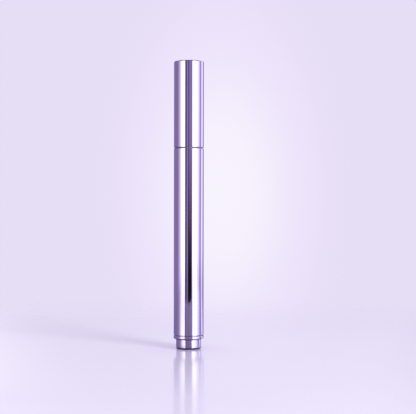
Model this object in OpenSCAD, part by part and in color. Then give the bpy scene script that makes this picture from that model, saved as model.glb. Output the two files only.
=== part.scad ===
// Push-button cuticle pen with a pull-off cap, in millimetres, +Z up.
// It stands on its button, and the origin is the middle of the button's flat face.
// The button turns a ratchet, the ratchet turns a nut, and the nut lifts the rod and the piston.

/* [Barrel and cap] */
// Outer diameter of the barrel, the cap and the end ring
body_d = 13; // [10.5:0.1:16]
// Length of the barrel tube
barrel_l = 80.25; // [64:0.25:100]
// Wall of the barrel tube
barrel_wall = 0.45; // [0.35:0.05:0.55]
// Length of the cap
cap_l = 37.3; // [34:0.1:50]
// Wall of the cap shell
cap_wall = 0.45; // [0.35:0.05:0.55]
// Thickness of the cap shell's closed end
cap_top_t = 0.6; // [0.4:0.1:1.2]
// Rounding round the closed end of the cap
cap_top_r = 0.5; // [0.2:0.05:0.6]
// Gap between the closed cap and the barrel
seam_gap = 0.4; // [0.2:0.05:0.5]
// Rounding of the tube rims
rim_r = 0.14; // [0.08:0.02:0.18]

/* [End ring] */
// Height of the lip below the barrel
lip_h = 1.5; // [0.8:0.1:2]
// Rounding of the lip's lower edge
lip_r = 0.5; // [0.2:0.05:0.6]
// Height of the shadow groove between the lip and the barrel
groove_h = 0.25; // [0.15:0.05:0.4]
// Length of the spigot inside the barrel
spigot_l = 5.6; // [4:0.1:7]
// Wall of the spigot round the button
spigot_wall = 0.56; // [0.4:0.01:1]

/* [Button] */
// Height of the button that shows below the lip
button_show = 4.3; // [3.5:0.1:6]
// Rounding of the button's lower edge
button_edge_r = 0.7; // [0.3:0.1:1]
// Wall of the button shell
button_wall = 0.45; // [0.3:0.05:0.6]
// Thickness of the button shell's floor
button_floor = 0.6; // [0.4:0.1:0.8]
// How far the button presses in
press_travel = 2; // [1.2:0.1:2.4]
// Height of the flange that keeps the button in
flange_h = 0.8; // [0.5:0.1:1.2]

/* [Return spring] */
// Length of the spring with the button out
spring_l = 6; // [5:0.1:8]
// Wire diameter
wire_d = 0.4; // [0.3:0.05:0.45]
// Turns of the spring
spring_turns = 4.5; // [3.5:0.5:5.5]

/* [Click drive] */
// Wall of the mechanism housing
housing_wall = 1; // [0.8:0.05:1.2]
// Wall of the drive sleeve's cup, as a share of the housing's bore radius, like the next ones
cup_wall_share = 0.0835; // [0.07:0.0005:0.1]
// Width of the step from the cup in to the sleeve
sleeve_step_share = 0.131; // [0.1:0.001:0.18]
// Wall of the button's stem
stem_wall_share = 0.159; // [0.12:0.001:0.2]
// Width of the ribs that keep the stem from turning
key_w = 1.2; // [0.9:0.1:1.4]
// How far the ribs and lugs stand out of the stem
key_share = 0.159; // [0.12:0.001:0.17]
// Length of the keyed guide in the housing
guide_h = 4; // [3.5:0.1:5]
// Diameter of the lugs that ride in the slanted slots
lug_d = 1.1; // [0.8:0.1:1.2]
// Teeth of the ratchet wheel, one for each click
click_teeth = 12; // [9:3:12]
// Height of the ratchet teeth
tooth_share = 0.0994; // [0.08:0.0002:0.11]
// Height of each pawl ring
pawl_h = 2.2; // [1.6:0.1:3]
// Thickness of the spring arms
pawl_t = 0.3; // [0.2:0.05:0.4]
// Wall of the ring that carries the spring arms
pawl_ring_share = 0.1034; // [0.08:0.0002:0.13]
// Room between the wheel's teeth and that ring
pawl_room_share = 0.0994; // [0.08:0.0002:0.12]

/* [Screw and piston] */
// Wall of the ratchet driver inside its teeth, as a share of the housing's bore radius
driver_wall_share = 0.139; // [0.1:0.001:0.18]
// Room round the screw rod in the driver, as such a share
driver_room_share = 0.0994; // [0.06:0.0002:0.16]
// Distance across the rod's two flats, as a share of its diameter
rod_flat_share = 0.75; // [0.65:0.05:0.85]
// Wall of the nut at its flats
nut_wall = 1; // [0.8:0.1:1.2]
// Height of the nut
nut_h = 4; // [3:0.1:5]
// Height of the piston
piston_h = 5; // [4.5:0.1:6]
// Wall of the reservoir tube
reservoir_wall = 1; // [0.8:0.05:1.1]
// Thickness of the rod guide's flange
rod_guide_t = 1.8; // [1.4:0.1:2.4]

/* [Neck and tip] */
// Wall of the cap's liner where it closes round the neck
liner_wall = 0.485; // [0.4:0.005:0.8]
// Height of the neck above the barrel
neck_show = 9.7; // [8:0.1:12]
// Length of the neck's skirt inside the barrel
neck_skirt_l = 7; // [5:0.5:10]
// Length of the neck's spigot inside the reservoir
neck_spigot_l = 3.5; // [3:0.1:4.5]
// How far the neck's stop ring, which lies on the barrel's rim, stays in from the outside
neck_ring_inset = 0.25; // [0.2:0.05:0.3]
// Height of the stop ring, as a share of the gap between the closed cap and the barrel
neck_ring_share = 0.6; // [0.4:0.05:0.7]
// Wall of the neck's spigot
neck_spigot_wall = 1.3; // [1.2:0.1:1.8]
// Width of the step from the neck in to the collar
collar_inset = 0.675; // [0.4:0.005:1]
// Height of the collar above the neck
collar_show = 2.6; // [1.8:0.1:3.5]
// Wall of the collar round the tip
collar_wall = 0.805; // [0.6:0.005:1.2]
// Height of the tip above the collar
tip_show = 11.3; // [9:0.1:12]
// Height of the slanted face's low side above the collar
tip_low = 4.8; // [3:0.1:6]
// Rounding of the tip's rim
tip_round = 0.65; // [0.4:0.05:1]
// Diameter of the feed tube
feed_d = 1.8; // [1.4:0.1:2]
// Wall of the feed tube
feed_wall = 0.35; // [0.25:0.05:0.5]

/* [Clearances] */
// Gap between pieces that are pushed together
push_gap = 0.02; // [0.01:0.01:0.04]
// Gap round pieces that slide or turn
run_gap = 0.07; // [0.04:0.01:0.1]
// Play at the ends of pieces that slide or turn
end_gap = 0.1; // [0.05:0.01:0.15]
// Room left round the soft and wound pieces
soft_gap = 0.3; // [0.2:0.05:0.4]
// Extra half width of the slanted slots over the lugs
slot_gap = 0.2; // [0.16:0.01:0.25]

/* [Hidden] */
$fn = 96;
cut_over = 1;

// Radii of the tubes
body_r = body_d / 2;
barrel_in_r = body_r - barrel_wall;
inner_r = barrel_in_r - push_gap;
cap_in_r = body_r - cap_wall;
rim_set = 0.35;

// Heights of the outside, from the button's face up
lip_z = button_show;
groove_z = lip_z + lip_h;
barrel_z = groove_z + groove_h;
barrel_top = barrel_z + barrel_l;
cap_z = barrel_top + seam_gap;
cap_top = cap_z + cap_l;
spigot_top = groove_z + spigot_l;

// Button
button_r = inner_r - spigot_wall - run_gap;
button_in_r = button_r - button_wall;
button_bore_r = button_r + run_gap;
shell_top = spigot_top - end_gap;
flange_z = spigot_top + push_gap;
flange_top = flange_z + flange_h;
flange_r = barrel_in_r - run_gap;

// Radii of the click drive, from the housing in to the stem
key_gap = 0.1;
housing_in_r = inner_r - housing_wall;
cup_r = housing_in_r - run_gap;
cup_in_r = cup_r - cup_wall_share * housing_in_r;
sleeve_r = cup_r - sleeve_step_share * housing_in_r;
key_r = sleeve_r - key_gap;
stem_r = key_r - key_share * housing_in_r;
stem_in_r = stem_r - stem_wall_share * housing_in_r;

// Housing and its keyed guide
guide_z = flange_top + spring_l;
guide_top = guide_z + guide_h;
housing_z = flange_top + press_travel + soft_gap;
rib_top = guide_top - press_travel;
rib_z = guide_z - press_travel - end_gap;

// Drive sleeve with its slanted slots and the cup for its pawls
sleeve_z = guide_top + end_gap;
sleeve_in_r = stem_r + run_gap;
sleeve_land_h = 0.6;
slot_r = lug_d / 2 + slot_gap;
slot_edge = 0.8;
lug_z = sleeve_z + slot_edge + slot_r;
stem_top = lug_z + lug_d;
click_turn = 360 / click_teeth;
cup_z = lug_z + press_travel + slot_r + slot_edge;
cup_floor = 0.8;
cup_top = cup_z + cup_floor + pawl_h + 2 * end_gap;

// Ratchet wheel and pawl rings
tooth_h = tooth_share * housing_in_r;
pawl_root_r = cup_in_r - push_gap - pawl_ring_share * housing_in_r;
wheel_r = pawl_root_r - pawl_room_share * housing_in_r;
wheel_root_r = wheel_r - tooth_h;
wheel_z = cup_z + cup_floor + end_gap;
pawl_gap = 0.1;
pawl_start = 1.5;
pawl_arms = 3;
pawl_rise_share = 1.1;
pawl_key_w = 1.4;
pawl_steps = 12;

// Stop pawls stand on a ledge in the housing
ledge_z = cup_top + end_gap;
ledge_step = 0.3;
ledge_r = housing_in_r + ledge_step;
stop_key_h = 0.35;
stop_top = ledge_z + pawl_h;

// Ratchet driver with its thrust flange and the pocket of the nut
driver_in_r = wheel_root_r - driver_wall_share * housing_in_r;
rod_r = driver_in_r - driver_room_share * housing_in_r;
rod_flat = 2 * rod_r * rod_flat_share;
thrust_z = stop_top + end_gap;
thrust_h = 0.9;
thrust_r = ledge_r - end_gap;
pocket_floor = 1.2;
pocket_wall = 0.9;
plug_h = 0.9;
nut_r = (rod_r + nut_wall) / cos(30);
driver_r = nut_r + pocket_wall;

// The nut sits as low as it can, and higher in a long barrel, so that the full rod still
// ends above the button's floor
skirt_top = barrel_top - rim_set;
reservoir_top = skirt_top - neck_skirt_l;
neck_z = reservoir_top - neck_spigot_l;
stack_h = nut_h + push_gap + 3 * end_gap + plug_h + rod_guide_t + piston_h;
usable_z = neck_z - soft_gap - stack_h;
core_floor = 3.6;
rod_low_z = button_floor + core_floor + press_travel + soft_gap;
nut_z = max(thrust_z + thrust_h + pocket_floor, (usable_z + rod_low_z) / 2);
driver_top = nut_z + nut_h + push_gap;
stroke = usable_z - nut_z;

// Rod guide that closes the housing and carries the reservoir
rod_guide_z = driver_top + end_gap;
housing_top = rod_guide_z + plug_h;
rod_guide_top = housing_top + rod_guide_t;

// Piston, rod and reservoir
reservoir_in_r = inner_r - reservoir_wall;
piston_r = reservoir_in_r - run_gap;
piston_z = rod_guide_top + 2 * end_gap;
piston_top = piston_z + piston_h;
rod_z = nut_z - stroke;
rod_head_step = 0.5;
rod_head_r = rod_r + rod_head_step;
rod_head_h = 1.2;
rod_neck_r = rod_flat / 2;
rod_neck_h = 1;
rod_shoulder_z = piston_z;
rod_head_z = rod_shoulder_z + rod_neck_h;
rod_top = rod_head_z + rod_head_h;
lip_ring_h = 0.8;
waist_depth = 0.35;
ring_groove_h = 1.1;
ring_groove_depth = 0.8;
ring_groove_z = piston_z + piston_h / 2 - ring_groove_h / 2;
core_z = rod_z - press_travel - soft_gap;

// Neck, collar and tip
liner_r = cap_in_r - push_gap;
neck_r = liner_r - liner_wall - run_gap;
neck_top = barrel_top + neck_show;
neck_ring_r = body_r - neck_ring_inset;
neck_ring_z = barrel_top + push_gap;
neck_ring_top = barrel_top + neck_ring_share * seam_gap;
neck_edge_r = 0.2;
collar_r = neck_r - collar_inset;
collar_top = neck_top + collar_show;
collar_edge_r = 0.25;
collar_step = 0.2;
pocket_r = collar_r - collar_step;
pocket_web = 1.6;
pocket_z = barrel_top + pocket_web;
chamber_r = reservoir_in_r - neck_spigot_wall;
chamber_top = barrel_top - pocket_web;
funnel_h = 1.2;
o_ring_r = 0.42;
o_groove_h = 1;
o_groove_depth = 0.9;
o_groove_z = neck_z + neck_spigot_l / 2;
tip_r = collar_r - collar_wall - push_gap;
tip_top = collar_top + tip_show;
collar_floor = 1.2;
nipple_h = 4.5;
nipple_wall = 0.8;
feed_r = feed_d / 2;
feed_in_r = feed_r - feed_wall;
nipple_r = feed_r + push_gap + nipple_wall;
tip_z = pocket_z + push_gap + collar_floor + push_gap;
nipple_top = tip_z + nipple_h;
feed_z = chamber_top - funnel_h;
tip_hold = 4;
feed_top = nipple_top + tip_hold;
rim_ball_r = tip_r - tip_round;
face_rise = tip_show - tip_low;
face_slope = atan(face_rise / 2 / rim_ball_r);
rim_mid = collar_top + tip_low + face_rise / 2 - tip_round;
face_mid = rim_mid + tip_round / cos(face_slope);
crown_drop = 2.4;
crown_z = collar_top + tip_low - crown_drop;
rim_balls = 40;
ball_fn = 24;
slit_depth = 1;
slit_w = 0.12;
slit_l = 1.6;

// Cap liner and its seal
liner_z = cap_z + rim_set;
liner_bore_r = neck_r + run_gap;
seal_h = 0.8;
seal_z = neck_top + end_gap;
seal_r = liner_bore_r - push_gap;
liner_room_r = collar_r + soft_gap;
liner_step_z = seal_z + seal_h;
liner_top = cap_top - cap_top_t - push_gap;
liner_top_t = 0.8;

// Wound form of the return spring
spring_r = (key_r + housing_in_r) / 2;
wire_r = wire_d / 2;
wire_sides = 6;
curl_rings = 16;
spring_gap = 0.05;
spring_z = flange_top + wire_r + spring_gap;
spring_rise = spring_l - wire_d - 2 * spring_gap;
spring_steps = floor(spring_turns * curl_rings);

// Colours of the pieces
lilac = "#b7a1de";
white = "#f4f2f8";
milky = "#eadfee";
pink = "#e8bcd6";
acetal = "#dcd8e4";
steel = "#b9bcc4";
brass = "#c9a95b";
rubber = "#5b5663";

// A tube with a plain bore
module tube(r_out, r_in, h) {
    difference() {
        cylinder(r = r_out, h = h);
        translate([0, 0, -cut_over])
            cylinder(r = r_in, h = h + 2 * cut_over);
    }
}

// What is cut off a corner to round it; turn 0 is the upper outer corner, and 90 more goes round
module corner_cut(at, r, turn) {
    inward = [[-1, -1], [1, -1], [1, 1], [-1, 1]][turn / 90];
    translate(at + r * inward)
        rotate(turn)
            difference() {
                square(r + cut_over);
                circle(r);
            }
}

// A flat block of a profile, from one radius and height to another
module block(r_from, z_from, r_to, z_to) {
    translate([r_from, z_from])
        square([r_to - r_from, z_to - z_from]);
}

// Cap

module cap_shell() {
    color(lilac)
        rotate_extrude()
            difference() {
                block(0, cap_z, body_r, cap_top);
                block(0, cap_z - cut_over, cap_in_r, cap_top - cap_top_t);
                corner_cut([body_r, cap_top], cap_top_r, 0);
                corner_cut([body_r, cap_z], rim_r, 270);
                corner_cut([cap_in_r, cap_z], rim_r, 180);
            }
}

module cap_liner() {
    color(white)
        rotate_extrude()
            difference() {
                block(0, liner_z, liner_r, liner_top);
                block(0, liner_z - cut_over, liner_bore_r, liner_step_z);
                block(0, liner_z, liner_room_r, liner_top - liner_top_t);
                corner_cut([liner_bore_r, liner_z], rim_r, 180);
            }
}

module cap_seal() {
    color(rubber)
        translate([0, 0, seal_z])
            tube(seal_r, liner_room_r, seal_h - push_gap);
}

// Neck and applicator

// The tip's rounded crown, under a face that slants up from front to back
module tip_crown() {
    hull() {
        translate([0, 0, crown_z])
            cylinder(r = tip_r, h = tip_round);
        for (i = [0:rim_balls - 1]) {
            across = rim_ball_r * cos(360 * i / rim_balls);
            along = rim_ball_r * sin(360 * i / rim_balls);
            translate([across, along, rim_mid + along * tan(face_slope)])
                sphere(r = tip_round, $fn = ball_fn);
        }
    }
}

module applicator_tip() {
    channel_top = face_mid - slit_depth;
    color(pink)
        difference() {
            union() {
                translate([0, 0, tip_z])
                    cylinder(r = tip_r, h = crown_z - tip_z);
                tip_crown();
            }
            translate([0, 0, tip_z - cut_over])
                cylinder(r = nipple_r + push_gap, h = nipple_top + push_gap - tip_z + cut_over);
            translate([0, 0, nipple_top])
                cylinder(r = feed_r + push_gap, h = feed_top + push_gap - nipple_top);
            translate([0, 0, feed_top])
                cylinder(r = feed_in_r, h = channel_top - feed_top);
            translate([-slit_l / 2, -slit_w / 2, channel_top - slit_w])
                cube([slit_l, slit_w, face_rise]);
        }
}

module tip_collar() {
    floor_z = pocket_z + push_gap;
    color(milky)
        rotate_extrude()
            difference() {
                union() {
                    block(0, floor_z, pocket_r - push_gap, neck_top);
                    block(0, neck_top, collar_r, collar_top);
                }
                block(nipple_r, floor_z + collar_floor, tip_r + push_gap, collar_top + cut_over);
                block(0, nipple_top, nipple_r + push_gap, collar_top + cut_over);
                block(0, floor_z - cut_over, feed_r + push_gap, nipple_top + cut_over);
                corner_cut([collar_r, collar_top], collar_edge_r, 0);
            }
}

module feed_tube() {
    color(steel)
        translate([0, 0, feed_z])
            tube(feed_r, feed_in_r, feed_top - feed_z);
}

module neck() {
    spigot_r = reservoir_in_r - push_gap;
    color(white)
        rotate_extrude()
            difference() {
                union() {
                    block(0, neck_z, spigot_r, reservoir_top);
                    block(0, reservoir_top, inner_r, skirt_top);
                    block(0, skirt_top, neck_r, neck_top);
                    block(0, neck_ring_z, neck_ring_r, neck_ring_top);
                }
                block(0, neck_z - cut_over, chamber_r, chamber_top - funnel_h);
                polygon([
                    [0, chamber_top - funnel_h - push_gap],
                    [chamber_r, chamber_top - funnel_h - push_gap],
                    [chamber_r, chamber_top - funnel_h],
                    [feed_r + push_gap, chamber_top],
                    [0, chamber_top]
                ]);
                block(0, chamber_top - push_gap, feed_r + push_gap, pocket_z + cut_over);
                block(0, pocket_z, pocket_r, neck_top + cut_over);
                block(
                    spigot_r - o_groove_depth, o_groove_z - o_groove_h / 2,
                    spigot_r + cut_over, o_groove_z + o_groove_h / 2
                );
                corner_cut([neck_r, neck_top], neck_edge_r, 0);
            }
}

module neck_o_ring() {
    color(rubber)
        rotate_extrude()
            translate([reservoir_in_r - push_gap - o_ring_r, o_groove_z])
                circle(r = o_ring_r);
}

// Barrel and reservoir

module barrel_shell() {
    color(lilac)
        rotate_extrude()
            difference() {
                block(barrel_in_r, barrel_z, body_r, barrel_top);
                corner_cut([body_r, barrel_top], rim_r, 0);
                corner_cut([barrel_in_r, barrel_top], rim_r, 90);
                corner_cut([body_r, barrel_z], rim_r, 270);
            }
}

module reservoir_tube() {
    color(milky)
        rotate_extrude()
            difference() {
                block(reservoir_in_r, rod_guide_top, inner_r, reservoir_top - push_gap);
                translate([reservoir_in_r, reservoir_top - push_gap])
                    polygon([[-rim_set, 0], [rim_set, 0], [-rim_set, -2 * rim_set]]);
            }
}

module piston() {
    waist_r = piston_r - waist_depth;
    color(white)
        rotate_extrude()
            difference() {
                block(0, piston_z, piston_r, piston_top);
                block(waist_r, piston_z + lip_ring_h, piston_r + cut_over, piston_top - lip_ring_h);
                block(
                    piston_r - ring_groove_depth, ring_groove_z,
                    piston_r + cut_over, ring_groove_z + ring_groove_h
                );
                block(0, piston_z - cut_over, rod_neck_r + push_gap, rod_head_z);
                block(0, rod_head_z - push_gap, rod_head_r + push_gap, rod_top + push_gap);
            }
}

module piston_ring() {
    color(rubber)
        translate([0, 0, ring_groove_z + push_gap])
            tube(
                piston_r + run_gap / 2,
                piston_r - ring_groove_depth + push_gap,
                ring_groove_h - 2 * push_gap
            );
}

// Screw and its nut

// A round bar with two flats, as the rod and its keyed hole have
module flatted(r, across, h) {
    intersection() {
        cylinder(r = r, h = h);
        translate([-r - cut_over, -across / 2, -cut_over])
            cube([2 * (r + cut_over), across, h + 2 * cut_over]);
    }
}

module screw_rod() {
    color(steel)
        union() {
            translate([0, 0, rod_z])
                flatted(rod_r, rod_flat, rod_shoulder_z - rod_z);
            translate([0, 0, rod_shoulder_z])
                cylinder(r = rod_neck_r, h = rod_neck_h);
            translate([0, 0, rod_head_z])
                cylinder(r = rod_head_r, h = rod_head_h);
        }
}

module rod_guide() {
    color(acetal)
        difference() {
            union() {
                translate([0, 0, rod_guide_z])
                    cylinder(r = ledge_r - push_gap, h = plug_h);
                translate([0, 0, housing_top])
                    cylinder(r = inner_r, h = rod_guide_t - push_gap);
            }
            translate([0, 0, rod_guide_z - cut_over])
                flatted(rod_r + run_gap, rod_flat + 2 * run_gap, plug_h + rod_guide_t + 2 * cut_over);
        }
}

module drive_nut() {
    color(brass)
        translate([0, 0, nut_z + push_gap])
            difference() {
                cylinder(r = nut_r - push_gap, h = nut_h - push_gap, $fn = 6);
                translate([0, 0, -cut_over])
                    cylinder(r = rod_r + run_gap, h = nut_h + 2 * cut_over);
            }
}

// Click drive

// Outline of the ratchet wheel: each tooth climbs from its root and drops straight back
module wheel_outline() {
    polygon([
        for (i = [0:click_teeth - 1])
            for (edge = [[wheel_root_r, i], [wheel_r, i + 1]])
                edge[0] * [cos(edge[1] * click_turn), sin(edge[1] * click_turn)]
    ]);
}

module ratchet_driver() {
    color(acetal)
        difference() {
            union() {
                translate([0, 0, wheel_z])
                    linear_extrude(height = thrust_z - wheel_z)
                        wheel_outline();
                translate([0, 0, thrust_z])
                    cylinder(r = thrust_r, h = thrust_h);
                translate([0, 0, thrust_z])
                    cylinder(r = driver_r, h = driver_top - thrust_z);
            }
            translate([0, 0, wheel_z - cut_over])
                cylinder(r = driver_in_r, h = driver_top - wheel_z);
            translate([0, 0, nut_z])
                cylinder(r = nut_r, h = nut_h + cut_over, $fn = 6);
        }
}

// How far out the inner edge of a spring arm lies, at an angle from its tip
function arm_r(a) = wheel_root_r + pawl_gap + pawl_rise_share * tooth_h * a / click_turn;

// A spring arm that winds in from its ring to the root of a tooth
module pawl_arm(ring_in_r) {
    arm_end = (ring_in_r + pawl_t / 2 - arm_r(0)) / (arm_r(1) - arm_r(0));
    angles = [for (i = [0:pawl_steps]) pawl_start + (arm_end - pawl_start) * i / pawl_steps];
    polygon(concat(
        [for (a = angles) arm_r(a) * [cos(a), sin(a)]],
        [for (a = angles) (arm_r(arm_end + pawl_start - a) + pawl_t)
            * [cos(arm_end + pawl_start - a), sin(arm_end + pawl_start - a)]]
    ));
}

// A ring of spring arms, with keys that hold it in its cup
module pawl_ring(r, key_out_r) {
    mid_r = (pawl_root_r + r) / 2;
    union() {
        tube(r, pawl_root_r, pawl_h);
        for (i = [0:pawl_arms - 1])
            rotate(360 * i / pawl_arms)
                linear_extrude(height = pawl_h)
                    pawl_arm(pawl_root_r);
        for (side = [0, 180])
            rotate(side)
                translate([mid_r, -pawl_key_w / 2, 0])
                    cube([key_out_r - mid_r, pawl_key_w, pawl_h]);
    }
}

module stop_pawl_ring() {
    color(white)
        translate([0, 0, ledge_z])
            pawl_ring(ledge_r - push_gap, ledge_r + stop_key_h - push_gap);
}

module drive_pawl_ring() {
    color(white)
        translate([0, 0, cup_z + cup_floor])
            pawl_ring(cup_in_r - push_gap, cup_r - push_gap);
}

// A slot across the sleeve's wall that climbs as the button's lug does
module slanted_slot() {
    mid_r = (sleeve_in_r + sleeve_r) / 2;
    half_run = mid_r * sin(click_turn / 2);
    climb = atan2(press_travel / 2, half_run);
    reach = norm([half_run, press_travel / 2]);
    rotate(click_turn / 2)
        translate([0, 0, lug_z + press_travel / 2])
            rotate([90, 0, 90])
                rotate(climb)
                    linear_extrude(height = sleeve_r + cut_over) {
                        translate([-reach, -slot_r])
                            square([2 * reach, 2 * slot_r]);
                        for (side = [-1, 1])
                            translate([side * reach, 0])
                                circle(r = slot_r);
                    }
}

module drive_sleeve() {
    color(acetal)
        difference() {
            union() {
                translate([0, 0, sleeve_z])
                    tube(cup_r, sleeve_in_r, sleeve_land_h);
                translate([0, 0, sleeve_z])
                    tube(sleeve_r, sleeve_in_r, cup_z - sleeve_z + cup_floor);
                translate([0, 0, cup_z])
                    difference() {
                        cylinder(r = cup_r, h = cup_top - cup_z);
                        translate([0, 0, cup_floor])
                            cylinder(r = cup_in_r, h = cup_top - cup_z);
                        translate([0, 0, -cut_over])
                            cylinder(r = sleeve_in_r, h = cup_top - cup_z);
                    }
            }
            for (side = [0, 180])
                rotate(side) {
                    slanted_slot();
                    translate([0, -pawl_key_w / 2 - push_gap, cup_z + cup_floor])
                        cube([cup_r + cut_over, pawl_key_w + 2 * push_gap, cup_top - cup_z]);
                }
        }
}

module mechanism_housing() {
    color(white)
        difference() {
            translate([0, 0, housing_z])
                cylinder(r = inner_r, h = housing_top - housing_z);
            translate([0, 0, housing_z - cut_over])
                cylinder(r = housing_in_r, h = guide_z - housing_z + cut_over);
            translate([0, 0, guide_z - cut_over])
                cylinder(r = stem_r + key_gap, h = guide_h + 2 * cut_over);
            translate([0, 0, guide_top])
                cylinder(r = housing_in_r, h = housing_top - guide_top);
            translate([0, 0, ledge_z])
                cylinder(r = ledge_r, h = housing_top - ledge_z + cut_over);
            translate([-key_r - key_gap, -key_w / 2 - key_gap, guide_z - cut_over])
                cube([2 * (key_r + key_gap), key_w + 2 * key_gap, guide_h + 2 * cut_over]);
            translate([-ledge_r - stop_key_h, -pawl_key_w / 2 - push_gap, ledge_z])
                cube([
                    2 * (ledge_r + stop_key_h),
                    pawl_key_w + 2 * push_gap,
                    housing_top - ledge_z + cut_over
                ]);
        }
}

// Return spring

function spring_point(i) = [
    spring_r * cos(360 * i / curl_rings),
    spring_r * sin(360 * i / curl_rings),
    spring_z + spring_rise * i / spring_steps
];

// A ring of the wire, square to the axis of the wire closely enough
function wire_ring(i) = [
    for (k = [0:wire_sides - 1])
        spring_point(i) + wire_r * (
            cos(360 * k / wire_sides) * [cos(360 * i / curl_rings), sin(360 * i / curl_rings), 0]
            + sin(360 * k / wire_sides) * [0, 0, 1]
        )
];

spring_line = [for (i = [0:spring_steps]) spring_point(i)];
least_gap = min([
    for (i = [0:spring_steps - curl_rings / 2])
        for (j = [i + curl_rings / 2 : spring_steps])
            norm(spring_line[j] - spring_line[i])
]) - wire_d;
echo(str("Least gap of the return spring to itself: ", least_gap));

module return_spring() {
    points = [for (i = [0:spring_steps]) each wire_ring(i)];
    last = spring_steps * wire_sides;
    sides = [
        for (i = [0:spring_steps - 1])
            for (k = [0:wire_sides - 1])
                let (
                    a = i * wire_sides + k,
                    b = i * wire_sides + (k + 1) % wire_sides
                )
                each [[a, b + wire_sides, b], [a, a + wire_sides, b + wire_sides]]
    ];
    ends = [
        for (k = [1:wire_sides - 2])
            each [[0, k, k + 1], [last, last + k + 1, last + k]]
    ];
    color(steel)
        polyhedron(points, concat(sides, ends));
}

// Button and end ring

module button_core() {
    color(white)
        difference() {
            union() {
                translate([0, 0, button_floor + push_gap])
                    cylinder(r = button_in_r - push_gap, h = flange_z - button_floor);
                translate([0, 0, flange_z])
                    cylinder(r = flange_r, h = flange_h);
                translate([0, 0, flange_z])
                    cylinder(r = stem_r, h = stem_top - flange_z);
                translate([-key_r, -key_w / 2, rib_z])
                    cube([2 * key_r, key_w, rib_top - rib_z]);
                translate([-key_r, 0, lug_z])
                    rotate([0, 90, 0])
                        cylinder(d = lug_d, h = 2 * key_r);
            }
            translate([0, 0, core_z])
                cylinder(r = stem_in_r, h = stem_top - core_z + cut_over);
        }
}

module button_shell() {
    color(lilac)
        rotate_extrude()
            difference() {
                block(0, 0, button_r, shell_top);
                block(0, button_floor, button_in_r, shell_top + cut_over);
                corner_cut([button_r, 0], button_edge_r, 270);
                corner_cut([button_r, shell_top], rim_r, 0);
            }
}

module end_ring() {
    color(lilac)
        rotate_extrude()
            difference() {
                union() {
                    block(button_bore_r, lip_z, body_r, groove_z);
                    block(button_bore_r, lip_z, inner_r, spigot_top);
                }
                corner_cut([body_r, lip_z], lip_r, 270);
                corner_cut([button_bore_r, lip_z], rim_r, 180);
                corner_cut([body_r, groove_z], rim_r, 0);
            }
}

cap_shell();
cap_liner();
cap_seal();
applicator_tip();
tip_collar();
feed_tube();
neck();
neck_o_ring();
barrel_shell();
reservoir_tube();
piston();
piston_ring();
screw_rod();
rod_guide();
drive_nut();
ratchet_driver();
stop_pawl_ring();
drive_pawl_ring();
drive_sleeve();
mechanism_housing();
return_spring();
button_core();
button_shell();
end_ring();
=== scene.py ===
import math

import bpy
import numpy as np
from bpy.props import FloatProperty, FloatVectorProperty, IntProperty, PointerProperty
from bpy.types import Operator, Panel, PropertyGroup
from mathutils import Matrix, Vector


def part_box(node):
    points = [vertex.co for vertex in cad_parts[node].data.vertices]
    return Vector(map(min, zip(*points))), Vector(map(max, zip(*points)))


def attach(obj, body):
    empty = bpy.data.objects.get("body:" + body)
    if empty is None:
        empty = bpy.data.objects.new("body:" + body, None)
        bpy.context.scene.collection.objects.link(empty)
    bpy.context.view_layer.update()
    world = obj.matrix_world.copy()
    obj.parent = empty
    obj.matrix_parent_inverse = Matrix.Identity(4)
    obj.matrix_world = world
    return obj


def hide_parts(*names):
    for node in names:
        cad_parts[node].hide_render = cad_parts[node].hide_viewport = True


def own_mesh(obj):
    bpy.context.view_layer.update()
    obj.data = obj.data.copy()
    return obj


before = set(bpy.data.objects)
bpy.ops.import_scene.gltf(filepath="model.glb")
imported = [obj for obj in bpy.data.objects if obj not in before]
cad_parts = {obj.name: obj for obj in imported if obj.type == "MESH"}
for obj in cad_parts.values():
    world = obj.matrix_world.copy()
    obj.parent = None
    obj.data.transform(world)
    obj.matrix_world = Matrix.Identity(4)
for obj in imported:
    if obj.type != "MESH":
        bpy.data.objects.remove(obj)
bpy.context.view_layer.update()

bl_info = {
    "name": "Cuticle pen",
    "version": (1, 0, 0),
    "blender": (4, 5, 0),
    "location": "3D View > Sidebar > Cuticle Pen",
    "description": "Finishes a push-button cuticle pen and sets it on a pale studio floor",
    "category": "Object",
}

LILAC_SHELLS = ("cap_shell", "barrel_shell", "end_ring", "button_shell")
WHITE_MOULDINGS = (
    "neck", "cap_liner", "piston", "button_core",
    "mechanism_housing", "stop_pawl_ring", "drive_pawl_ring",
)
ACETAL_MOULDINGS = ("ratchet_driver", "drive_sleeve", "rod_guide")
MILKY_MOULDINGS = ("tip_collar", "reservoir_tube")
RUBBER_RINGS = ("cap_seal", "neck_o_ring", "piston_ring")
MM = 0.001


# Mesh helpers

def grid_faces(rows, columns):
    """Quads of a grid of rings: each row closes on itself, and the first and last rows stay open."""
    row, column = np.meshgrid(np.arange(rows - 1), np.arange(columns), indexing="ij")
    up = row + 1
    over = (column + 1) % columns
    quads = (row * columns + column, row * columns + over, up * columns + over, up * columns + column)
    return np.stack(quads, axis=-1).reshape(-1, 4)


def add_surface(name, points, faces, material, caps=()):
    """A smooth-shaded piece from points in metres, its quads, and any polygons that close its ends."""
    mesh = bpy.data.meshes.new(name)
    mesh.from_pydata(points.reshape(-1, 3), [], faces.tolist() + [list(cap) for cap in caps])
    mesh.update()
    mesh.polygons.foreach_set("use_smooth", np.ones(len(mesh.polygons), dtype=bool))
    mesh.materials.append(material)
    piece = bpy.data.objects.new(name, mesh)
    bpy.context.scene.collection.objects.link(piece)
    return piece


def wear_material(names, material):
    """Puts a material in the slots of the framed parts."""
    for name in names:
        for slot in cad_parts[name].material_slots:
            slot.material = material


# Node helpers

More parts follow.
